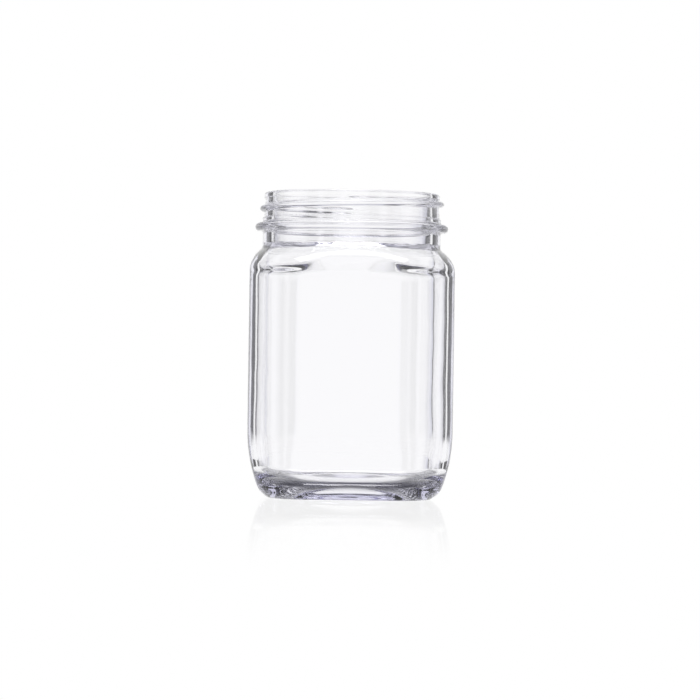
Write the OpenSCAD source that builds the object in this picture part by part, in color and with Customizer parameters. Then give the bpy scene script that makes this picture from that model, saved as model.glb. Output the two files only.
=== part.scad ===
// Screw-neck jar of clear moulded glass, as one casting: a rounded-square body that
// turns into a round neck, with a transfer bead, a one-turn thread bead and a rounded lip.
// Millimetres, +Z up, origin at the middle of the standing ring. The front panel faces -Y.

/* [Body] */
// Height from the standing ring to the rim
height = 120; // [100:1:180]
// Width across the flat panels
body_w = 80.2; // [78:0.2:110]
// Radius of the upright corners
corner_r = 22; // [16:1:30]
// Height up to which the lower body still widens
tuck_h = 27; // [20:1:34]
// Radius of that widening curve, seen from the side
tuck_radius = 63; // [50:1:90]
// Angle from upright at which the shoulder meets the neck
shoulder_angle = 48; // [40:1:60]

/* [Foot] */
// Corner radius at the ground
foot_corner_r = 15; // [12:1:20]
// Height of the rounded heel
heel_h = 4.6; // [3:0.2:6]
// How far the heel turns in at the ground
heel_in = 2.3; // [1.6:0.1:3]

/* [Neck] */
// Height of the neck, from the shoulder to the rim
neck_h = 21; // [19:0.5:30]
// Outside diameter of the neck under the lip
neck_od = 68.6; // [56:0.2:70]
// Thickness of the neck wall under the lip
neck_wall = 2.9; // [2.4:0.1:3.6]
// How much the neck widens from the lip down to the bead
neck_draft = 0.7; // [0:0.1:0.9]
// How far the neck root stands proud of the neck under the lip
root_proud = 1; // [0.6:0.1:1.4]
// Radius of the hollow fillet between shoulder and neck
root_fillet = 2; // [1:0.5:3]
// Height of the thicker lip
lip_h = 2.2; // [1.8:0.1:3]
// How far the lip stands proud of the neck
lip_proud = 0.5; // [0.3:0.1:0.8]
// Radius of the lip's two edges
lip_round = 1; // [0.6:0.1:1.1]

/* [Transfer bead] */
// Distance from the rim down to the middle of the bead
bead_drop = 13.7; // [13.2:0.1:16]
// How far the bead stands proud of the neck under the lip
bead_proud = 4; // [3:0.1:5]
// Height of the bead
bead_h = 3.2; // [2.6:0.1:3.6]
// Height of the thicker band on top of the bead
band_h = 2.2; // [1.6:0.1:2.4]
// How far that band stands proud of the neck just above it
band_proud = 0.4; // [0.2:0.1:0.6]

/* [Thread] */
// Rise of the thread in one turn
thread_pitch = 5.08; // [4:0.01:5.6]
// How far the thread stands proud of the neck
thread_proud = 2.2; // [1.6:0.1:2.6]
// Width of the thread at the neck wall
thread_w = 3.2; // [2.6:0.1:3.6]
// Distance from the rim down to the thread at the middle of the front
thread_drop = 5.1; // [4.8:0.1:5.4]
// Turning angle of the whole thread
thread_turn = 390; // [340:5:400]
// Turning angle over which each end runs out
runout = 30; // [20:5:40]

/* [Wall and base] */
// Thickness of the body wall
wall = 3.2; // [2.4:0.1:4]
// Thickness of the base beside its raised middle
base_t = 4.3; // [3.6:0.1:6]
// Rise of the raised middle inside the jar
dome_h = 3.3; // [1:0.1:4]
// Height of the rounded corner between floor and wall
inner_heel_h = 9.7; // [8:0.1:12]
// Width of that corner
inner_heel_w = 10.8; // [8:0.1:12]
// Diameter of the hollow under the base
dish_d = 52; // [40:1:54]
// Depth of the hollow under the base
dish_h = 2.6; // [1:0.1:3]

/* [Smoothness] */
// Sides of each ring of the outer form
outer_sides = 96; // [64:8:112]
// Sides of each ring of the inside
inner_sides = 72; // [48:8:88]
// Steps in each curve of the side view
curve_steps = 6; // [4:1:6]
// Thread sections in one turn
thread_steps = 60; // [40:4:72]

/* [Hidden] */
$fn = 96;

// Cutting forms run this far past the faces they cut, and the thread's root lies this deep in the wall
past = 1;
bore_past = 1;
sunk = 0.9;

// The side view is worked out from these radii and heights
body_r = body_w / 2;
neck_r = neck_od / 2;
bore_r = neck_r - neck_wall;
root_r = neck_r + root_proud;
neck_z = height - neck_h;
bead_z = height - bead_drop;

// The shoulder is an arc that ends where the hollow fillet of the neck begins
fillet_z = neck_z - root_fillet * sin(shoulder_angle);
fillet_r = root_r + root_fillet * (1 - cos(shoulder_angle));
shoulder_r = (body_r - fillet_r) / (1 - cos(shoulder_angle));
shoulder_z = fillet_z - shoulder_r * sin(shoulder_angle);

// The inside has its own shoulder arc, which runs from the wall to just past the bore
inner_r = body_r - wall;
inner_top_z = neck_z + bore_past + 0.5;
inner_shoulder_r = (inner_r - bore_r + bore_past) / (1 - cos(shoulder_angle));
inner_shoulder_z = inner_top_z - inner_shoulder_r * sin(shoulder_angle);
inner_heel_z = base_t + inner_heel_h;
trough_r = body_half(inner_heel_z) - wall - inner_heel_w;
dome_flat_r = 3;

// Half width of the outer form at height z, from the ground to the shoulder
function body_half(z) =
    let (below = max(tuck_h - z, 0), heel = max(1 - z / heel_h, 0))
    body_r - (tuck_radius - sqrt(tuck_radius * tuck_radius - below * below)) - heel_in * heel * heel;

// Corner radius of the outer form at height z, from the ground to the shoulder
function body_corner(z) =
    foot_corner_r + (corner_r - foot_corner_r) * (1 - cos(180 * min(max(z, 0) / tuck_h, 1))) / 2;

// Value between a and b at share t
function between(a, b, t) = a + (b - a) * t;

// Distance from the axis to a rounded square of half width w and corner radius r, in direction a
function reach(a, w, r) =
    let (b = 45 - abs(45 - a % 90), c = w - r)
    w * tan(b) <= c ? w / cos(b)
    : c * (cos(b) + sin(b)) + sqrt(r * r - pow(c * (cos(b) - sin(b)), 2));

// Stations of a shoulder arc: [height, half width, corner radius], square below and round on top
function shoulder(z, w, corner, arc_r) = [
    for (i = [1 : curve_steps])
        let (
            a = shoulder_angle * i / curve_steps,
            half = w - arc_r * (1 - cos(a)),
            t = sin(a) / sin(shoulder_angle)
        )
        [z + arc_r * sin(a), half, between(corner, half, t * t)]
];

// Stations of the outer form, from just below the ground to the inside of the transfer bead
outer_stations = concat(
    [
        for (i = [0 : curve_steps])
            let (z = heel_h * (i - 0.5) / curve_steps) [z, body_half(z), body_corner(z)]
    ],
    [
        for (i = [0 : curve_steps])
            let (z = between(heel_h, tuck_h, i / curve_steps)) [z, body_half(z), body_corner(z)]
    ],
    [[shoulder_z, body_r, corner_r]],
    shoulder(shoulder_z, body_r, corner_r, shoulder_r),
    [
        for (i = [1 : 3])
            let (a = shoulder_angle * (1 - i / 3), r = root_r + root_fillet * (1 - cos(a)))
            [neck_z - root_fillet * sin(a), r, r]
    ],
    [[bead_z, root_r, root_r]]
);

// Stations of the inside, from the middle of the raised floor out, up the wall and into the bore
inner_stations = concat(
    [
        for (i = [0 : curve_steps])
            let (r = between(dome_flat_r, trough_r, i / curve_steps), t = i / curve_steps)
            [
                base_t + dome_h * (1 + cos(180 * t)) / 2,
                r,
                between(r, min(r, corner_r - wall), t)
            ]
    ],
    [
        for (i = [1 : curve_steps])
            let (
                a = 90 * i / curve_steps,
                z = inner_heel_z - inner_heel_h * cos(a),
                r = trough_r + inner_heel_w * sin(a)
            )
            [z, r, min(r, body_corner(z) - wall + 2 * cos(a))]
    ],
    [
        for (i = [1 : 3])
            let (z = between(inner_heel_z, tuck_h, i / 3)) [z, body_half(z) - wall, body_corner(z) - wall]
    ],
    [[inner_shoulder_z, inner_r, corner_r - wall]],
    shoulder(inner_shoulder_z, inner_r, corner_r - wall, inner_shoulder_r)
);

// Solid through a list of rounded-square stations. Each ring starts in the middle of a corner,
// so that the first point of a cap lies on no flat.
module loft(stations, sides) {
    points = [
        for (s = stations, i = [0 : sides - 1])
            let (a = 45 + 360 * i / sides, d = reach(a, s[1], s[2]))
            [d * cos(a), d * sin(a), s[0]]
    ];
    last = (len(stations) - 1) * sides;
    walls = [
        for (k = [0 : len(stations) - 2], i = [0 : sides - 1], half = [0, 1])
            let (j = (i + 1) % sides, low = k * sides, up = low + sides)
            half == 0 ? [low + i, up + i, up + j] : [low + i, up + j, low + j]
    ];
    floor_face = [for (i = [0 : sides - 1]) i];
    top_face = [for (i = [0 : sides - 1]) last + sides - 1 - i];
    polyhedron(points, concat([floor_face], walls, [top_face]));
}

// Solid neck of revolution: lip, neck wall, thicker band and transfer bead
module neck_blank() {
    nose_r = bead_h / 2;
    bead_r = neck_r + bead_proud;
    lip_r = neck_r + lip_proud;
    rotate_extrude() {
        // Neck from inside the bead to inside the lip, a little wider at the bead
        polygon([
            [0, bead_z],
            [neck_r + neck_draft, bead_z],
            [neck_r, height - lip_h / 2],
            [0, height - lip_h / 2]
        ]);
        // Lip, with its outer edge rounded
        difference() {
            translate([0, height - lip_h]) square([lip_r, lip_h]);
            translate([lip_r - lip_round, height - lip_round]) square(lip_round + past);
        }
        translate([lip_r - lip_round, height - lip_round]) circle(lip_round);
        // Thicker band that the bead's upper side runs into
        translate([0, bead_z]) square([neck_r + neck_draft + band_proud, nose_r + band_h]);
        // Bead with a round nose
        translate([0, bead_z - nose_r]) square([bead_r - nose_r, bead_h]);
        translate([bead_r - nose_r, bead_z]) circle(nose_r);
    }
}

// Thread bead: a rounded ridge on a right-hand helix, which sinks into the wall at both ends
module thread_bead() {
    count = ceil(thread_steps * thread_turn / 360);
    step = thread_turn / count;
    first = 270 - thread_turn / 2;
    base_r = neck_r - sunk;
    crest = thread_proud + sunk;
    // Profile of the ridge as [share of the crest, share of half the width], from the root up
    profile = [[0, -1], [0.55, -0.75], [1, -0.3], [1, 0.3], [0.55, 0.75], [0, 1]];
    sides = len(profile);
    points = [
        for (k = [0 : count])
            let (
                turned = k * step,
                a = first + turned,
                end = min(turned, thread_turn - turned, runout) / runout,
                rise = between(sunk / 2, crest, sin(90 * end)),
                z = height - thread_drop + thread_pitch * (a - 270) / 360
            )
            for (p = profile)
                let (r = base_r + p[0] * rise)
                [r * cos(a), r * sin(a), z + p[1] * thread_w / 2]
    ];
    walls = [
        for (k = [0 : count - 1], i = [0 : sides - 1], half = [0, 1])
            let (j = (i + 1) % sides, low = k * sides, up = low + sides)
            half == 0 ? [low + i, low + j, up + j] : [low + i, up + j, up + i]
    ];
    start_face = [for (i = [0 : sides - 1]) sides - 1 - i];
    end_face = [for (i = [0 : sides - 1]) count * sides + i];
    polyhedron(points, concat([start_face], walls, [end_face]));
}

// Space inside the jar: the lofted body and the round bore with its eased edge
module inside() {
    loft(inner_stations, inner_sides);
    rotate_extrude() {
        translate([0, neck_z - past]) square([bore_r, neck_h + 2 * past]);
        difference() {
            translate([0, height - lip_round]) square([bore_r + lip_round, lip_round + past]);
            translate([bore_r + lip_round, height - lip_round]) circle(lip_round);
        }
    }
}

// Shallow hollow under the base, which leaves a standing ring
module base_dish() {
    dish_r = dish_d / 2;
    ball_r = (dish_r * dish_r + dish_h * dish_h) / (2 * dish_h);
    translate([0, 0, dish_h - ball_r])
        intersection() {
            sphere(ball_r);
            translate([0, 0, ball_r - dish_h - past]) cylinder(h = dish_h + 2 * past, r = dish_r + 10);
        }
}

module glass_jar() {
    color("lightcyan", 0.35)
        difference() {
            union() {
                loft(outer_stations, outer_sides);
                neck_blank();
                thread_bead();
            }
            inside();
            base_dish();
            translate([0, 0, -height]) cube([2 * body_w, 2 * body_w, 2 * height], center = true);
        }
}

glass_jar();
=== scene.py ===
"""Looks of an open jar of clear moulded glass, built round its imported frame.

The jar is one casting, so it is one closed mesh. Its side view is spun into a round form, the body is
then pressed to a rounded square, and the thread, the knurled ring and the slow waves that blowing
leaves on the inside follow. It stands on a white sheet in a white tent, whose dark cards show only
through the glass. Lengths are metres, turns round the axis are radians, +Z is up, and the front panel
faces -Y.
"""

import logging
import math
from dataclasses import dataclass
from enum import IntEnum
from typing import NamedTuple

import bmesh
import bpy
from mathutils import Matrix, Vector, noise


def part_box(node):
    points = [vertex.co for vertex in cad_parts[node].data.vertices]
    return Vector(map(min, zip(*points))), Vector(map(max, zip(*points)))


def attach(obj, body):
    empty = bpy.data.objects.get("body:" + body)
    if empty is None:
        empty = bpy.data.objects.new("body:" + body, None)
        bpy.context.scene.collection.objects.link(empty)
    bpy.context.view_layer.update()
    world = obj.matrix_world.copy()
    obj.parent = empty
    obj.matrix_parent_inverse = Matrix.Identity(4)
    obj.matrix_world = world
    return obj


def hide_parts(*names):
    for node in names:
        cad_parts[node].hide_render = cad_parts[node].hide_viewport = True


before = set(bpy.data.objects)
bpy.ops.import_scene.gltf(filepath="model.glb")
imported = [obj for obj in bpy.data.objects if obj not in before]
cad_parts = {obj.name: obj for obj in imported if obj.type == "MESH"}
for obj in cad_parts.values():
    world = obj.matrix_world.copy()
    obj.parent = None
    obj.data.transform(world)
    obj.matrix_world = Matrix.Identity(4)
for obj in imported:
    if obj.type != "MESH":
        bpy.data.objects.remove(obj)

log = logging.getLogger("glass_jar")

MM = 0.001
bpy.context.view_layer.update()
JAR_NODE = "glass_jar"
JAR_PIECE = "clear_glass_jar"
LAYERS = ("half", "corner", "zone")

# Points nearer to each other than this are one point.
MERGE = 1e-7

# Degrees of a quarter turn, after which the cards round the jar repeat.
QUARTER = 90.0

# Sockets of a Mix node that blends colours: its names stand for more than one socket each.
MIX_SHARE = 0
MIX_A = 6
MIX_B = 7
MIX_RESULT = 2


class Zone(IntEnum):
    """Stretch of the jar's surface that a ring of the mesh belongs to."""

    UNDERSIDE = 0
    RING = 1
    BODY = 2
    NECK = 3
    BORE = 4
    INSIDE = 5
    FLOOR = 6


class Station(NamedTuple):
    """One ring of the jar: a square of this half width with these rounded corners, at a height."""

    z: float
    half: float
    corner: float
    zone: Zone


def between(low: float, high: float, share: float) -> float:
    """Value at a share of the way from low to high."""
    return low + (high - low) * share


def shares(count: int, first: int = 0) -> list[float]:
    """Even shares from first / count up to 1."""
    return [i / count for i in range(first, count + 1)]


def smooth(low: float, high: float, value: float) -> float:
    """0 below low, 1 above high, and an eased rise between them."""
    rise = min(max((value - low) / (high - low), 0.0), 1.0)
    return rise * rise * (3 - 2 * rise)


def blended_max(a: float, b: float, blend: float) -> float:
    """The larger of a and b, with a hollow fillet of about the size blend where they cross."""
    near = max(blend - abs(a - b), 0.0) / blend
    return max(a, b) + near * near * blend / 4


def reach(turn: float, half: float, corner: float) -> float:
    """Distance from the axis to the edge of a rounded square.

    Args:
        turn: direction round the axis, in radians.
        half: half width over the flats.
        corner: corner radius; a circle where it equals half.

    Returns:
        The distance in that direction.
    """
    eighth = math.pi / 4
    # Angle from the middle of the nearest side, from 0 to an eighth of a turn.
    lean = eighth - abs(eighth - turn % (2 * eighth))
    flat = half - corner
    if half * math.tan(lean) <= flat:
        return half / math.cos(lean)
    across = flat * (math.cos(lean) - math.sin(lean))
    along = flat * (math.cos(lean) + math.sin(lean))
    return along + math.sqrt(corner * corner - across * across)


def eased(corners: list[tuple[float, float, float]], steps: int) -> list[Vector]:
    """A side view of straight stretches with an arc in each corner.

    Args:
        corners: distance from the axis, height and arc radius of each corner; the ends keep theirs sharp.
        steps: points of each arc less one.

    Returns:
        The points, as (distance from the axis, height).
    """
    points = [Vector(corners[0][:2])]
    for before, corner, after in zip(corners, corners[1:], corners[2:]):
        tip = Vector(corner[:2])
        back = (Vector(before[:2]) - tip).normalized()
        ahead = (Vector(after[:2]) - tip).normalized()
        bend = back.angle(ahead)
        middle = tip + (back + ahead).normalized() * corner[2] / math.sin(bend / 2)
        tangent = corner[2] / math.tan(bend / 2)
        start = (tip + back * tangent - middle).normalized()
        end = (tip + ahead * tangent - middle).normalized()
        points += [middle + start.slerp(end, share) * corner[2] for share in shares(steps)]
    points.append(Vector(corners[-1][:2]))
    return points


def spaced(points: list[Vector], step: float) -> list[Vector]:
    """The same line with more points on it.

    Args:
        points: the line's points.
        step: the most that may lie between two points.

    Returns:
        The old points and the new ones, in order.
    """
    line = [points[0]]
    for start, end in zip(points, points[1:]):
        length = (end - start).length
        if length > MERGE:
            line += [start.lerp(end, share) for share in shares(math.ceil(length / step), first=1)]
    return line


@dataclass
class Thread:
    """The single thread bead, which climbs to the right across the front and runs out at both ends.

    Seen in section it is a hump, with its crest flattened by crest_power and its flanks rounded by
    flank_power. It starts a little below the neck's surface, and meets it in a hollow fillet.
    """

    pitch: float = 5.08 * MM
    proud: float = 2.2 * MM
    width: float = 3.2 * MM
    drop: float = 5.1 * MM
    length: float = math.radians(390)
    runout: float = math.radians(30)
    sunk: float = 0.9 * MM
    front: float = math.radians(270)
    crest_power: float = 2.4
    flank_power: float = 0.8
    fillet: float = 0.5 * MM

    def radius(self, turn: float, z: float, rim_z: float, wall_r: float) -> float:
        """Distance from the axis to the thread's surface.

        Args:
            turn: direction round the axis, in radians.
            z: height.
            rim_z: height of the rim.
            wall_r: radius of the neck under the lip.

        Returns:
            The distance, which is inside the wall where there is no thread.
        """
        root = wall_r - self.sunk
        crest = self.sunk + self.proud
        best = root
        for lap in (-1, 0, 1):
            past_front = turn - self.front + math.tau * lap
            left = self.length / 2 - abs(past_front)
            if left <= 0:
                continue
            middle = rim_z - self.drop + self.pitch * past_front / math.tau
            off = abs(z - middle) / (self.width / 2)
            if off < 1:
                rise = crest * math.sin(math.pi / 2 * min(left / self.runout, 1))
                best = max(best, root + rise * (1 - off ** self.crest_power) ** self.flank_power)
        return best


@dataclass
class Neck:
    """Round neck from its root in the shoulder to the rim: transfer bead, band and lip.

    It widens downwards by draft, of which step_share is reached at the top of the band. The bead has
    hollow fillets, the band and the lip have eased edges, and row is the most between two rings.
    """

    rim_z: float
    height: float = 21 * MM
    outer_d: float = 68.6 * MM
    wall: float = 2.9 * MM
    draft: float = 0.7 * MM
    root_proud: float = 1 * MM
    lip_h: float = 2.2 * MM
    lip_proud: float = 0.5 * MM
    lip_round: float = 1 * MM
    bead_drop: float = 13.7 * MM
    bead_proud: float = 4 * MM
    bead_h: float = 3.2 * MM
    band_h: float = 2.2 * MM
    band_proud: float = 0.4 * MM
    step_share: float = 0.75
    hollow: float = 0.8 * MM
    ease: float = 0.35 * MM
    row: float = 0.17 * MM
    arc_steps: int = 8

    @property
    def radius(self) -> float:
        """Radius of the neck just under the lip."""
        return self.outer_d / 2

    @property
    def bore_r(self) -> float:
        """Radius of the straight bore."""
        return self.radius - self.wall

    @property
    def root_r(self) -> float:
        """Radius of the neck below the bead."""
        return self.radius + self.root_proud

    @property
    def foot_z(self) -> float:
        """Height at which the neck leaves the shoulder's fillet."""
        return self.rim_z - self.height

    @property
    def bore_top_z(self) -> float:
        """Height at which the lip ends and the straight bore goes on."""
        return self.rim_z - 2 * self.lip_round

    def stations(self) -> list[Station]:
        """Lists the neck's rings.

        Returns:
            The rings from the root up, over the lip, to the top of the bore.
        """
        fine_ease = self.ease / 2
        nose = self.bead_h / 2
        bead_z = self.rim_z - self.bead_drop
        bead_r = self.radius + self.bead_proud
        band_r = self.radius + self.draft + self.band_proud
        band_z = bead_z + nose + self.band_h
        step_r = self.radius + self.draft * self.step_share
        lip_z = self.rim_z - self.lip_h
        lip_r = self.radius + self.lip_proud
        line = eased(
            [
                (self.root_r, self.foot_z, 0),
                (self.root_r, bead_z - nose, self.hollow),
                (bead_r, bead_z - nose, nose),
                (bead_r, bead_z + nose, nose),
                (band_r, bead_z + nose, self.hollow),
                (band_r, band_z, self.ease),
                (step_r, band_z, fine_ease),
                (self.radius, lip_z, fine_ease),
                (lip_r, lip_z, fine_ease),
                (lip_r, self.rim_z, self.lip_round),
                (self.bore_r, self.rim_z, self.lip_round),
                (self.bore_r, self.bore_top_z, 0),
            ],
            self.arc_steps,
        )
        return [Station(point.y, point.x, point.x, Zone.NECK) for point in spaced(line, self.row)]


@dataclass
class Body:
    """Outer form of the body: a rounded square that widens from the foot and turns round at the neck.

    Its sides curve out up to tuck_h, on an arc of tuck_radius, and below heel_h they also turn in by
    heel_in at the ground.
    """

    width: float
    neck: Neck
    corner_r: float = 22 * MM
    tuck_h: float = 27 * MM
    tuck_radius: float = 63 * MM
    shoulder_angle: float = math.radians(48)
    root_fillet: float = 2 * MM
    foot_corner_r: float = 15 * MM
    heel_h: float = 4.6 * MM
    heel_in: float = 2.3 * MM
    heel_rows: int = 12
    tuck_rows: int = 16
    wall_rows: int = 12
    shoulder_rows: int = 22
    fillet_rows: int = 8

    @property
    def radius(self) -> float:
        """Half the width over the flats."""
        return self.width / 2

    @property
    def fillet_r(self) -> float:
        """Distance from the axis at which the shoulder meets the neck's hollow fillet."""
        return self.neck.root_r + self.root_fillet * (1 - math.cos(self.shoulder_angle))

    @property
    def shoulder_r(self) -> float:
        """Radius of the shoulder's arc."""
        return (self.radius - self.fillet_r) / (1 - math.cos(self.shoulder_angle))

    @property
    def shoulder_z(self) -> float:
        """Height at which the upright wall turns into the shoulder."""
        drop = (self.root_fillet + self.shoulder_r) * math.sin(self.shoulder_angle)
        return self.neck.foot_z - drop

    def half(self, z: float) -> float:
        """Half width over the flats.

        Args:
            z: height, from the ground to the shoulder.

        Returns:
            The half width there.
        """
        below = max(self.tuck_h - z, 0)
        heel = max(1 - z / self.heel_h, 0)
        tuck = self.tuck_radius - math.sqrt(self.tuck_radius ** 2 - below ** 2)
        return self.radius - tuck - self.heel_in * heel ** 2

    def corner(self, z: float) -> float:
        """Corner radius at height z, from the ground to the shoulder."""
        share = min(max(z, 0) / self.tuck_h, 1)
        return between(self.foot_corner_r, self.corner_r, (1 - math.cos(math.pi * share)) / 2)

    def stations(self, start_z: float) -> list[Station]:
        """Lists the body's rings.

        Args:
            start_z: height in the heel at which they start.

        Returns:
            The rings from there up to the neck's root.
        """
        stretches = (
            (start_z, self.heel_h, self.heel_rows),
            (self.heel_h, self.tuck_h, self.tuck_rows),
            (self.tuck_h, self.shoulder_z, self.wall_rows),
        )
        rings = []
        for low, high, rows in stretches:
            for share in shares(rows, first=1):
                z = between(low, high, share)
                rings.append(Station(z, self.half(z), self.corner(z), Zone.BODY))
        for share in shares(self.shoulder_rows, first=1):
            angle = self.shoulder_angle * share
            z = self.shoulder_z + self.shoulder_r * math.sin(angle)
            half = self.radius - self.shoulder_r * (1 - math.cos(angle))
            rounding = (math.sin(angle) / math.sin(self.shoulder_angle)) ** 2
            rings.append(Station(z, half, between(self.corner_r, half, rounding), Zone.BODY))
        for share in shares(self.fillet_rows, first=1):
            angle = self.shoulder_angle * (1 - share)
            z = self.neck.foot_z - self.root_fillet * math.sin(angle)
            half = self.neck.root_r + self.root_fillet * (1 - math.cos(angle))
            rings.append(Station(z, half, half, Zone.BODY))
        return rings


@dataclass
class Foot:
    """Underside: a shallow hollow, a standing ring with fine radial knurls, and the heel's lower edge."""

    body: Body
    dish_d: float = 52 * MM
    dish_h: float = 2.6 * MM
    dish_rows: int = 12
    knurls: int = 144
    knurl_start: float = 26.5 * MM
    knurl_end: float = 30.3 * MM
    knurl_depth: float = 0.3 * MM
    knurl_fade: float = 0.8 * MM
    knurl_rows: int = 6
    flat_rows: int = 3
    edge_round: float = 0.7 * MM
    edge_rows: int = 5

    @property
    def edge_z(self) -> float:
        """Height at which the rounded lower edge ends and the heel goes on."""
        return self.edge_round

    def stations(self) -> list[Station]:
        """Lists the underside's rings.

        Returns:
            The rings from the middle of the hollow out to the heel.
        """
        dish_r = self.dish_d / 2
        ball_r = (dish_r ** 2 + self.dish_h ** 2) / (2 * self.dish_h)
        rings = []
        for share in shares(self.dish_rows):
            radius = dish_r * share
            z = self.dish_h - ball_r + math.sqrt(ball_r ** 2 - radius ** 2)
            rings.append(Station(z, radius, radius, Zone.UNDERSIDE))
        for share in shares(self.knurl_rows):
            radius = between(self.knurl_start, self.knurl_end, share)
            rings.append(Station(0, radius, radius, Zone.RING))
        flat_r = self.body.half(0) - self.edge_round
        for share in shares(self.flat_rows, first=1):
            half = between(self.knurl_end, flat_r, share)
            corner = between(self.knurl_end, self.body.corner(0) - self.edge_round, share)
            rings.append(Station(0, half, corner, Zone.UNDERSIDE))
        for share in shares(self.edge_rows, first=1):
            z = self.edge_z * share ** 2
            middle = between(flat_r, self.body.half(0), share)
            half = between(middle, between(self.body.half(0), self.body.half(self.edge_z), share), share)
            corner = between(self.body.corner(0) - self.edge_round, self.body.corner(self.edge_z), share)
            rings.append(Station(z, half, corner, Zone.BODY))
        return rings

    def groove(self, turn: float, distance: float) -> float:
        """Depth of the grooves between the knurls, at a place on the standing ring.

        Args:
            turn: direction round the axis.
            distance: distance from the axis.

        Returns:
            How far the surface lies above the ground there.
        """
        inner = smooth(self.knurl_start, self.knurl_start + self.knurl_fade, distance)
        outer = 1 - smooth(self.knurl_end - self.knurl_fade, self.knurl_end, distance)
        return self.knurl_depth * inner * outer * (1 - math.cos(self.knurls * turn)) / 2


@dataclass
class Inside:
    """Inner surface: bore, shoulder, wall, rounded heel and raised floor, with the waves of blown glass.

    The shoulder's arc would end past_bore inside the bore and past_foot above the neck's foot, but the
    bore cuts it off. It turns round sooner than the outside, early_round times as fast. Down the heel
    the corner radius grows by heel_corner, and the floor turns round over dome_round of its half
    width. The blown surface has slow waves and quick ripples. They die out towards the floor, within
    still_r of the axis, and towards the bore, whose lower edge wanders up and down instead.
    """

    body: Body
    neck: Neck
    wall: float = 3.2 * MM
    base_t: float = 4.3 * MM
    dome_h: float = 3.3 * MM
    heel_h: float = 9.7 * MM
    heel_w: float = 10.8 * MM
    heel_corner: float = 2 * MM
    dome_round: float = 0.6
    past_bore: float = 1 * MM
    past_foot: float = 1.5 * MM
    early_round: float = 1.15
    throat_round: float = 1.3 * MM
    throat_lead: float = 3 * MM
    bore_rows: int = 22
    throat_rows: int = 10
    shoulder_rows: int = 18
    wall_rows: int = 30
    heel_rows: int = 18
    dome_rows: int = 16
    wave_length: float = 24 * MM
    wave_h: float = 0.1 * MM
    wave_place: tuple[float, float, float] = (3.1, 7.7, 1.9)
    ripple_length: float = 7 * MM
    ripple_h: float = 0.035 * MM
    ripple_place: tuple[float, float, float] = (11.3, 2.9, 5.3)
    still_base: float = 2 * MM
    still_r: float = 10 * MM
    calm_below: float = 4 * MM
    calm_above: float = 2 * MM
    throat_reach: float = 2.2 * MM
    throat_wave_h: float = 0.5 * MM
    throat_waves: float = 4.3
    throat_wave_place: tuple[float, float, float] = (0.7, 5.1, 8.3)
    throat_ripples: float = 13.0
    throat_ripple_share: float = 0.6
    throat_ripple_place: tuple[float, float, float] = (4.7, 1.1, 2.3)

    @property
    def top_z(self) -> float:
        """Height at which the inner shoulder's arc would end."""
        return self.neck.foot_z + self.past_foot

    @property
    def radius(self) -> float:
        """Half width of the inside over the flats."""
        return self.body.radius - self.wall

    @property
    def shoulder_r(self) -> float:
        """Radius of the inner shoulder's arc."""
        across = self.radius - self.neck.bore_r + self.past_bore
        return across / (1 - math.cos(self.body.shoulder_angle))

    @property
    def shoulder_z(self) -> float:
        """Height at which the inner wall turns into the shoulder."""
        return self.top_z - self.shoulder_r * math.sin(self.body.shoulder_angle)

    @property
    def throat_z(self) -> float:
        """Height at which the shoulder's arc meets the bore."""
        across = (self.radius - self.neck.bore_r) / self.shoulder_r
        return self.shoulder_z + self.shoulder_r * math.sin(math.acos(1 - across))

    def stations(self) -> list[Station]:
        """Lists the inside's rings.

        Returns:
            The rings from the top of the bore down the wall to the middle of the floor.
        """
        neck, body = self.neck, self.body
        top = neck.bore_top_z
        meet = math.acos(1 - (self.radius - neck.bore_r) / self.shoulder_r)
        slope = Vector((math.sin(meet), -math.cos(meet)))
        corner_point = (neck.bore_r, self.throat_z, self.throat_round)
        lead = slope * self.throat_lead
        below = (neck.bore_r + lead.x, self.throat_z + lead.y, 0)
        throat = eased([(neck.bore_r, top, 0), corner_point, below], self.throat_rows)[1:-1]
        rings = [
            Station(between(top, throat[0].y, share), neck.bore_r, neck.bore_r, Zone.BORE)
            for share in shares(self.bore_rows, first=1)
        ]
        rings += [Station(point.y, point.x, point.x, Zone.BORE) for point in throat[1:]]
        arc_top = math.asin((throat[-1].y - self.shoulder_z) / self.shoulder_r)
        for share in shares(self.shoulder_rows, first=1):
            angle = arc_top * (1 - share)
            z = self.shoulder_z + self.shoulder_r * math.sin(angle)
            half = self.radius - self.shoulder_r * (1 - math.cos(angle))
            rounding = (math.sin(angle) / math.sin(body.shoulder_angle)) ** 2
            corner = between(body.corner_r - self.wall, half, min(rounding * self.early_round, 1))
            rings.append(Station(z, half, corner, Zone.INSIDE))
        heel_z = self.base_t + self.heel_h
        for share in shares(self.wall_rows, first=1):
            z = between(self.shoulder_z, heel_z, share)
            rings.append(Station(z, body.half(z) - self.wall, body.corner(z) - self.wall, Zone.INSIDE))
        trough_r = body.half(heel_z) - self.wall - self.heel_w
        for share in shares(self.heel_rows, first=1):
            angle = math.pi / 2 * share
            z = heel_z - self.heel_h * math.sin(angle)
            half = trough_r + self.heel_w * math.cos(angle)
            corner = min(half, body.corner(z) - self.wall + self.heel_corner * math.sin(angle))
            rings.append(Station(z, half, corner, Zone.INSIDE))
        trough_corner = rings[-1].corner
        for share in shares(self.dome_rows, first=1):
            half = trough_r * (1 - share)
            corner = between(trough_corner, half, smooth(0, self.dome_round, share))
            z = self.base_t + self.dome_h * (1 - math.cos(math.pi * share)) / 2
            rings.append(Station(z, half, min(corner, half), Zone.FLOOR))
        return rings

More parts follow.
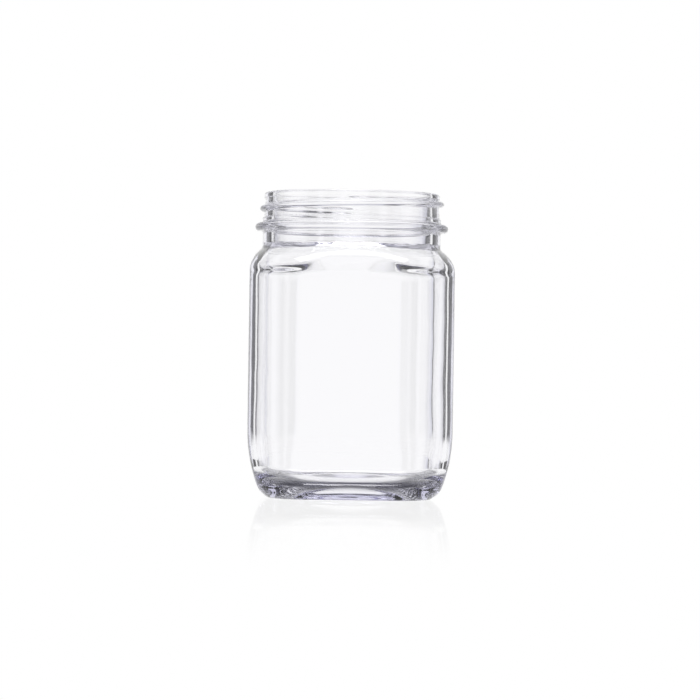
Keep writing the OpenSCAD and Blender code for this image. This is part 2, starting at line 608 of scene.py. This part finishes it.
    def wave(self, point: Vector) -> float:
        """How far the blown surface stands in from its ideal place.

        Args:
            point: the ideal place.

        Returns:
            The distance towards the axis.
        """
        slow = noise.noise(point / self.wave_length + Vector(self.wave_place))
        quick = noise.noise(point / self.ripple_length + Vector(self.ripple_place))
        level = smooth(self.base_t + self.still_base, self.base_t + self.heel_h, point.z)
        calm = 1 - smooth(self.throat_z - self.calm_below, self.throat_z + self.calm_above, point.z)
        inward = min(math.hypot(point.x, point.y) / self.still_r, 1)
        return (slow * self.wave_h + quick * self.ripple_h) * level * calm * inward

    def throat_wave(self, turn: float, z: float) -> float:
        """How far the edge between bore and shoulder wanders, round the neck.

        Args:
            turn: direction round the axis.
            z: height.

        Returns:
            The distance up.
        """
        near = math.exp(-(((z - self.throat_z) / self.throat_reach) ** 2))
        place = Vector((math.cos(turn), math.sin(turn), 0))
        slow = noise.noise(place * self.throat_waves + Vector(self.throat_wave_place))
        quick = noise.noise(place * self.throat_ripples + Vector(self.throat_ripple_place))
        return near * self.throat_wave_h * (slow + self.throat_ripple_share * quick)


@dataclass
class GlassJar:
    """The whole jar, one casting: foot, body, neck, thread and inside as one closed surface.

    It has sides points round, and each stretch between two of them has ring_cuts more on the
    standing ring, for the knurls.
    """

    foot: Foot
    body: Body
    neck: Neck
    thread: Thread
    inside: Inside
    sides: int = 216
    ring_cuts: int = 3

    def side_view(self) -> list[Station]:
        """All rings, from the middle of the underside up the outside and down the inside to the floor."""
        rings = self.foot.stations() + self.body.stations(self.foot.edge_z)
        return rings + self.neck.stations()[1:] + self.inside.stations()

    def spun(self) -> bmesh.types.BMesh:
        """Turns the side view round the axis.

        Returns:
            The jar's mesh, still round all over, with its ring's sizes and zone noted at each point.
        """
        mesh = bmesh.new()
        half = mesh.verts.layers.float.new("half")
        corner = mesh.verts.layers.float.new("corner")
        zone = mesh.verts.layers.int.new("zone")
        line = []
        for ring in self.side_view():
            point = mesh.verts.new((ring.half, 0, ring.z))
            point[half], point[corner], point[zone] = ring.half, ring.corner, int(ring.zone)
            line.append(point)
        edges = [mesh.edges.new(pair) for pair in zip(line, line[1:])]
        bmesh.ops.spin(
            mesh,
            geom=line + edges,
            cent=(0, 0, 0),
            axis=(0, 0, 1),
            angle=math.tau,
            steps=self.sides,
            use_merge=True,
        )
        bmesh.ops.remove_doubles(mesh, verts=mesh.verts, dist=MERGE)
        ring_edges = [
            edge for edge in mesh.edges
            if all(end[zone] == Zone.RING for end in edge.verts)
            and edge.verts[0][half] == edge.verts[1][half]
        ]
        bmesh.ops.subdivide_edges(mesh, edges=ring_edges, cuts=self.ring_cuts, use_grid_fill=True)
        return mesh

    def press(self, mesh: bmesh.types.BMesh) -> None:
        """Moves every point of the round form to its place on the jar.

        Args:
            mesh: the round form.
        """
        half = mesh.verts.layers.float["half"]
        corner = mesh.verts.layers.float["corner"]
        zone = mesh.verts.layers.int["zone"]
        for point in mesh.verts:
            turn = math.atan2(point.co.y, point.co.x) % math.tau
            z = point.co.z
            distance = reach(turn, point[half], point[corner])
            place = Zone(point[zone])
            if place == Zone.NECK and distance > self.neck.bore_r + self.neck.wall / 2:
                ridge = self.thread.radius(turn, z, self.neck.rim_z, self.neck.radius)
                if ridge > self.neck.radius - self.thread.sunk:
                    distance = blended_max(distance, ridge, self.thread.fillet)
            elif place == Zone.RING:
                z += self.foot.groove(turn, distance)
            elif place in (Zone.BORE, Zone.INSIDE, Zone.FLOOR):
                where = Vector((distance * math.cos(turn), distance * math.sin(turn), z))
                distance -= self.inside.wave(where)
                z += self.inside.throat_wave(turn, z)
            point.co = (distance * math.cos(turn), distance * math.sin(turn), z)

    def build(self) -> bpy.types.Object:
        """Makes the jar's object.

        Returns:
            The object, at the origin, with its faces pointing outwards.
        """
        mesh = self.spun()
        self.press(mesh)
        bmesh.ops.recalc_face_normals(mesh, faces=mesh.faces)
        for face in mesh.faces:
            face.smooth = True
        data = bpy.data.meshes.new(JAR_PIECE)
        mesh.to_mesh(data)
        mesh.free()
        for name in LAYERS:
            data.attributes.remove(data.attributes[name])
        jar = bpy.data.objects.new(JAR_PIECE, data)
        bpy.context.scene.collection.objects.link(jar)
        return jar

    def dress(self, jar: bpy.types.Object, glass: "SodaLimeGlass") -> None:
        """Gives the jar its glass and its body.

        Args:
            jar: the jar's object.
            glass: its finish.
        """
        jar.data.materials.append(glass.material())
        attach(jar, "root")
        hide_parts(JAR_NODE)


def linear(colour: str) -> tuple[float, float, float, float]:
    """Linear colour of an sRGB hex value.

    Args:
        colour: the value, such as #E8EAF0.

    Returns:
        Red, green, blue and a full alpha.
    """
    channels = [int(colour[i:i + 2], 16) / 255 for i in (1, 3, 5)]
    parts = [c / 12.92 if c <= 0.04045 else ((c + 0.055) / 1.055) ** 2.4 for c in channels]
    return (*parts, 1.0)


def add_node(tree: bpy.types.NodeTree, kind: str, settings: dict | None = None,
             inputs: dict | None = None) -> bpy.types.Node:
    """Adds a node to a tree.

    Args:
        tree: the tree it joins.
        kind: the node's type.
        settings: its properties by name.
        inputs: a value, or the socket that feeds it, for each input by name or number.

    Returns:
        The node.
    """
    node = tree.nodes.new(kind)
    for name, value in (settings or {}).items():
        setattr(node, name, value)
    for key, value in (inputs or {}).items():
        if isinstance(value, bpy.types.NodeSocket):
            tree.links.new(value, node.inputs[key])
        else:
            node.inputs[key].default_value = value
    return node


def set_stops(ramp: bpy.types.ColorRamp, stops: list[tuple[float, str]]) -> None:
    """Gives a colour ramp its stops.

    Args:
        ramp: the ramp.
        stops: a position from 0 to 1 and an sRGB hex colour for each, in order.
    """
    while len(ramp.elements) > 1:
        ramp.elements.remove(ramp.elements[-1])
    ramp.elements[0].position = stops[0][0]
    ramp.elements[0].color = linear(stops[0][1])
    for position, colour in stops[1:]:
        ramp.elements.new(position).color = linear(colour)


@dataclass(frozen=True)
class SodaLimeGlass:
    """Soda-lime container glass, blown in a polished mould.

    To the eye it is clear and colourless, and faintly cool grey only where light runs a long way through
    it, as in the base. Its skin has a slight unevenness, about skin_size across, that bends straight
    lines.
    """

    ior: float = 1.52
    roughness: float = 0.0
    depth_tint: str = "#E3E2EE"
    depth_density: float = 30.0
    skin_size: float = 9 * MM
    skin_height: float = 0.006 * MM

    def material(self) -> bpy.types.Material:
        """Makes the glass.

        Returns:
            The material, with its skin on Object coordinates.
        """
        glass = bpy.data.materials.new("soda_lime_glass")
        glass.use_nodes = True
        tree = glass.node_tree
        tree.nodes.clear()
        place = add_node(tree, "ShaderNodeTexCoord")
        skin = add_node(
            tree, "ShaderNodeTexNoise", {},
            {"Vector": place.outputs["Object"], "Scale": 1 / self.skin_size, "Detail": 1.0},
        )
        bump = add_node(
            tree, "ShaderNodeBump", {},
            {"Height": skin.outputs["Fac"], "Distance": self.skin_height, "Strength": 1.0},
        )
        body = add_node(
            tree, "ShaderNodeBsdfPrincipled", {},
            {
                "Base Color": (1, 1, 1, 1),
                "Roughness": self.roughness,
                "IOR": self.ior,
                "Transmission Weight": 1.0,
                "Normal": bump.outputs["Normal"],
            },
        )
        depth = add_node(
            tree, "ShaderNodeVolumeAbsorption", {},
            {"Color": linear(self.depth_tint), "Density": self.depth_density},
        )
        add_node(
            tree, "ShaderNodeOutputMaterial", {},
            {"Surface": body.outputs["BSDF"], "Volume": depth.outputs["Volume"]},
        )
        return glass


@dataclass(frozen=True)
class StudioCards:
    """White tent round the jar, as the glass sees it, with upright dark cards between its panels.

    The cards draw the dark edges of clear glass. They repeat each quarter turn, so each side of the
    jar and each corner is seen against white. Angles are degrees, counted from the panel behind the
    jar or from the horizon. A card has soft edges and a pale haze on its inner side, and high up and
    low down the tent is darker.
    """

    white: str = "#FFFFFF"
    haze: str = "#E2E2EE"
    card: str = "#1A1A22"
    cards: tuple[tuple[float, float], ...] = ((-40.0, -23.0), (20.0, 40.0))
    soft: float = 2.0
    hazy: float = 8.0
    ceiling: str = "#9C9CB2"
    ceiling_start: float = 32.0
    ceiling_end: float = 64.0

    def azimuth_stops(self) -> list[tuple[float, str]]:
        """Lists the tent's colours round the jar.

        Returns:
            Stops that run from an eighth of a turn left of a panel to an eighth right of it.
        """
        stops = [(0.0, self.white)]
        for start, end in self.cards:
            near, far, side = (start, end, 1) if start > 0 else (end, start, -1)
            places = [
                (near - side * (self.soft + self.hazy), self.white),
                (near - side * self.soft, self.haze),
                (near, self.card),
                (far, self.card),
                (far + side * self.soft, self.white),
            ]
            stops += [((turn + QUARTER / 2) / QUARTER, colour) for turn, colour in sorted(places)]
        return stops + [(1.0, self.white)]

    def height_stops(self) -> list[tuple[float, str]]:
        """Lists the tent's colours by height.

        Returns:
            Stops that run from straight down to straight up.
        """
        places = [
            (-self.ceiling_end, self.ceiling),
            (-self.ceiling_start, self.white),
            (self.ceiling_start, self.white),
            (self.ceiling_end, self.ceiling),
        ]
        return [((height + QUARTER) / (2 * QUARTER), colour) for height, colour in places]

    def apply(self, world: bpy.types.World) -> None:
        """Sets the world: the tent for what is seen through glass, and plain white for all else.

        Args:
            world: the world.
        """
        world.use_nodes = True
        tree = world.node_tree
        tree.nodes.clear()
        way = add_node(tree, "ShaderNodeTexCoord")
        parts = add_node(tree, "ShaderNodeSeparateXYZ", {}, {0: way.outputs["Generated"]})
        bearing = add_node(
            tree, "ShaderNodeMath", {"operation": "ARCTAN2"},
            {0: parts.outputs["X"], 1: parts.outputs["Y"]},
        )
        quarters = add_node(
            tree, "ShaderNodeMath", {"operation": "DIVIDE"}, {0: bearing.outputs[0], 1: math.pi / 2}
        )
        folded = add_node(
            tree, "ShaderNodeMath", {"operation": "WRAP"}, {0: quarters.outputs[0], 1: 0.5, 2: -0.5}
        )
        across = add_node(tree, "ShaderNodeMath", {"operation": "ADD"}, {0: folded.outputs[0], 1: 0.5})
        panels = add_node(tree, "ShaderNodeValToRGB", {}, {"Fac": across.outputs[0]})
        set_stops(panels.color_ramp, self.azimuth_stops())
        climb = add_node(tree, "ShaderNodeMath", {"operation": "ARCSINE"}, {0: parts.outputs["Z"]})
        height = add_node(
            tree, "ShaderNodeMath", {"operation": "MULTIPLY_ADD"},
            {0: climb.outputs[0], 1: 1 / math.pi, 2: 0.5},
        )
        levels = add_node(tree, "ShaderNodeValToRGB", {}, {"Fac": height.outputs[0]})
        set_stops(levels.color_ramp, self.height_stops())
        tent = add_node(
            tree, "ShaderNodeMix", {"data_type": "RGBA", "blend_type": "MULTIPLY"},
            {MIX_SHARE: 1.0, MIX_A: panels.outputs["Color"], MIX_B: levels.outputs["Color"]},
        )
        path = add_node(tree, "ShaderNodeLightPath")
        seen = add_node(
            tree, "ShaderNodeMix", {"data_type": "RGBA"},
            {
                MIX_SHARE: path.outputs["Is Transmission Ray"],
                MIX_A: linear(self.white),
                MIX_B: tent.outputs[MIX_RESULT],
            },
        )
        light = add_node(
            tree, "ShaderNodeBackground", {}, {"Color": seen.outputs[MIX_RESULT], "Strength": 1.0}
        )
        add_node(tree, "ShaderNodeOutputWorld", {}, {"Surface": light.outputs[0]})


@dataclass
class WhiteFloor:
    """Polished white acrylic sheet.

    To the eye it is plain white and mirrors the jar faintly, less the further away the mirror image
    lies. It is white by itself for the camera and in glass and mirrors, and plain matt for all other
    light. Glass also shows a painted contact shadow under the jar, a dark ring that lies between the
    clear distances and the distances where it fades, and the cards, which hide the sheet from
    cards_start on.
    """

    white: str = "#FFFFFF"
    matt: str = "#EDEDF0"
    size: float = 6.0
    squares: int = 4
    gap: float = 0.05 * MM
    mirror: float = 0.16
    mirror_roughness: float = 0.015
    mirror_start: float = 60 * MM
    mirror_end: float = 380 * MM
    # Colour of the painted contact shadow under the jar, which only glass shows.
    painted_shadow_tone: str = "#32313E"
    painted_shadow_fade_start: float = 37 * MM
    painted_shadow_fade_end: float = 50 * MM
    clear_start: float = 22 * MM
    clear_end: float = 30 * MM
    cards_start: float = 0.3
    cards_end: float = 0.8

    def material(self) -> bpy.types.Material:
        """Makes the acrylic.

        Returns:
            The material, whose rings lie round the sheet's origin.
        """
        sheet = bpy.data.materials.new("white_acrylic")
        sheet.use_nodes = True
        tree = sheet.node_tree
        tree.nodes.clear()
        place = add_node(tree, "ShaderNodeTexCoord")
        away = add_node(
            tree, "ShaderNodeVectorMath", {"operation": "LENGTH"}, {"Vector": place.outputs["Object"]}
        )
        shine = add_node(
            tree, "ShaderNodeMapRange", {"interpolation_type": "SMOOTHSTEP"},
            {
                "Value": away.outputs["Value"],
                "From Min": self.mirror_start,
                "From Max": self.mirror_end,
                "To Min": self.mirror,
                "To Max": 0.0,
            },
        )
        path = add_node(tree, "ShaderNodeLightPath")
        # Share of painted contact shadow: full out to the first fade distance, none past the second.
        under = add_node(
            tree, "ShaderNodeMapRange", {"interpolation_type": "SMOOTHSTEP"},
            {
                "Value": away.outputs["Value"],
                "From Min": self.painted_shadow_fade_start,
                "From Max": self.painted_shadow_fade_end,
                "To Min": 1.0,
                "To Max": 0.0,
            },
        )
        # The painted contact shadow rises from nothing at clear_start to full at clear_end.
        ring = add_node(
            tree, "ShaderNodeMapRange", {"interpolation_type": "SMOOTHSTEP"},
            {
                "Value": away.outputs["Value"],
                "From Min": self.clear_start,
                "From Max": self.clear_end,
                "To Min": 0.0,
                "To Max": under.outputs[0],
            },
        )
        through = add_node(
            tree, "ShaderNodeMath", {"operation": "MULTIPLY"},
            {0: ring.outputs[0], 1: path.outputs["Is Transmission Ray"]},
        )
        # Colour that glows: white, or the painted contact shadow where glass looks at the floor under the
        # jar.
        tone = add_node(
            tree, "ShaderNodeMix", {"data_type": "RGBA"},
            {
                MIX_SHARE: through.outputs[0],
                MIX_A: linear(self.white),
                MIX_B: linear(self.painted_shadow_tone),
            },
        )
        glow = add_node(
            tree, "ShaderNodeEmission", {}, {"Color": tone.outputs[MIX_RESULT], "Strength": 1.0}
        )
        polish = add_node(
            tree, "ShaderNodeBsdfGlossy", {},
            {"Color": linear(self.white), "Roughness": self.mirror_roughness},
        )
        shown = add_node(
            tree, "ShaderNodeMixShader", {},
            {0: shine.outputs[0], 1: glow.outputs[0], 2: polish.outputs[0]},
        )
        matt = add_node(tree, "ShaderNodeBsdfDiffuse", {}, {"Color": linear(self.matt)})
        sharp = add_node(
            tree, "ShaderNodeMath", {"operation": "MAXIMUM"},
            {0: path.outputs["Is Glossy Ray"], 1: path.outputs["Is Transmission Ray"]},
        )
        direct = add_node(
            tree, "ShaderNodeMath", {"operation": "MAXIMUM"},
            {0: sharp.outputs[0], 1: path.outputs["Is Camera Ray"]},
        )
        surface = add_node(
            tree, "ShaderNodeMixShader", {},
            {0: direct.outputs[0], 1: matt.outputs[0], 2: shown.outputs[0]},
        )
        beyond = add_node(
            tree, "ShaderNodeMapRange", {"interpolation_type": "SMOOTHSTEP"},
            {
                "Value": away.outputs["Value"],
                "From Min": self.cards_start,
                "From Max": self.cards_end,
                "To Min": 0.0,
                "To Max": 1.0,
            },
        )
        hidden = add_node(
            tree, "ShaderNodeMath", {"operation": "MULTIPLY"},
            {0: beyond.outputs[0], 1: path.outputs["Is Transmission Ray"]},
        )
        onward = add_node(tree, "ShaderNodeBsdfTransparent")
        standing = add_node(
            tree, "ShaderNodeMixShader", {},
            {0: hidden.outputs[0], 1: surface.outputs[0], 2: onward.outputs[0]},
        )
        add_node(tree, "ShaderNodeOutputMaterial", {}, {"Surface": standing.outputs[0]})
        return sheet

    def build(self) -> bpy.types.Object:
        """Makes the sheet.

        Returns:
            Its object, a hair below the jar's standing ring.
        """
        mesh = bmesh.new()
        bmesh.ops.create_grid(mesh, x_segments=self.squares, y_segments=self.squares, size=self.size / 2)
        bmesh.ops.translate(mesh, verts=mesh.verts, vec=(0, 0, -self.gap))
        data = bpy.data.meshes.new("floor_sheet")
        mesh.to_mesh(data)
        mesh.free()
        sheet = bpy.data.objects.new("floor_sheet", data)
        sheet.data.materials.append(self.material())
        bpy.context.scene.collection.objects.link(sheet)
        return sheet


@dataclass
class SoftBox:
    """One large soft lamp above the jar."""

    size: float = 0.9
    height: float = 1.3
    forward: float = 0.25
    power: float = 9.0

    def build(self) -> bpy.types.Object:
        """Hangs the lamp.

        Returns:
            Its object, facing down.
        """
        lamp = bpy.data.lights.new("soft_box", "AREA")
        lamp.size = self.size
        lamp.energy = self.power
        held = bpy.data.objects.new("soft_box", lamp)
        held.location = (0, -self.forward, self.height)
        bpy.context.scene.collection.objects.link(held)
        return held


@dataclass
class PhotoCamera:
    """The photograph's view: level and far off, a touch to the jar's left, with a slight roll."""

    distance: float = 1.074
    eye: float = 58 * MM
    lens: float = 139.1
    sensor: float = 36.0
    yaw: float = math.radians(1.5)
    roll: float = math.radians(0.85)

    def build(self) -> bpy.types.Object:
        """Makes the camera and gives it to the scene.

        Returns:
            Its object.
        """
        lens = bpy.data.cameras.new("photo_camera")
        lens.lens = self.lens
        lens.sensor_width = self.sensor
        camera = bpy.data.objects.new("photo_camera", lens)
        left = math.sin(self.yaw) * self.distance
        back = math.cos(self.yaw) * self.distance
        camera.matrix_world = (
            Matrix.Translation((-left, -back, self.eye))
            @ Matrix.Rotation(-self.yaw, 4, "Z")
            @ Matrix.Rotation(math.pi / 2, 4, "X")
            @ Matrix.Rotation(self.roll, 4, "Z")
        )
        bpy.context.scene.collection.objects.link(camera)
        bpy.context.scene.camera = camera
        return camera


def set_view(bounces: int = 32, glass_bounces: int = 28, mirror_bounces: int = 16) -> None:
    """Sets plain colours, and enough light bounces for walls seen through walls.

    Args:
        bounces: the most bounces in all.
        glass_bounces: the most of them through glass.
        mirror_bounces: the most of them off shiny surfaces.
    """
    scene = bpy.context.scene
    scene.view_settings.view_transform = "Standard"
    scene.cycles.max_bounces = bounces
    scene.cycles.transmission_bounces = glass_bounces
    scene.cycles.glossy_bounces = mirror_bounces


def main() -> None:
    """Builds the jar, its stage, its light and its camera."""
    logging.basicConfig(level=logging.INFO, format="%(name)s: %(message)s")
    low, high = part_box(JAR_NODE)
    neck = Neck(rim_z=high.z)
    body = Body(width=high.x - low.x, neck=neck)
    jar = GlassJar(foot=Foot(body), body=body, neck=neck, thread=Thread(), inside=Inside(body, neck))
    piece = jar.build()
    jar.dress(piece, SodaLimeGlass())
    log.info("%s: %d points, %d faces", piece.name, len(piece.data.vertices), len(piece.data.polygons))
    for made in (WhiteFloor().build(), SoftBox().build(), PhotoCamera().build()):
        log.info("%s is in place", made.name)
    bpy.context.scene.world = bpy.data.worlds.new("studio")
    StudioCards().apply(bpy.context.scene.world)
    set_view()


if __name__ == "__main__":
    main()
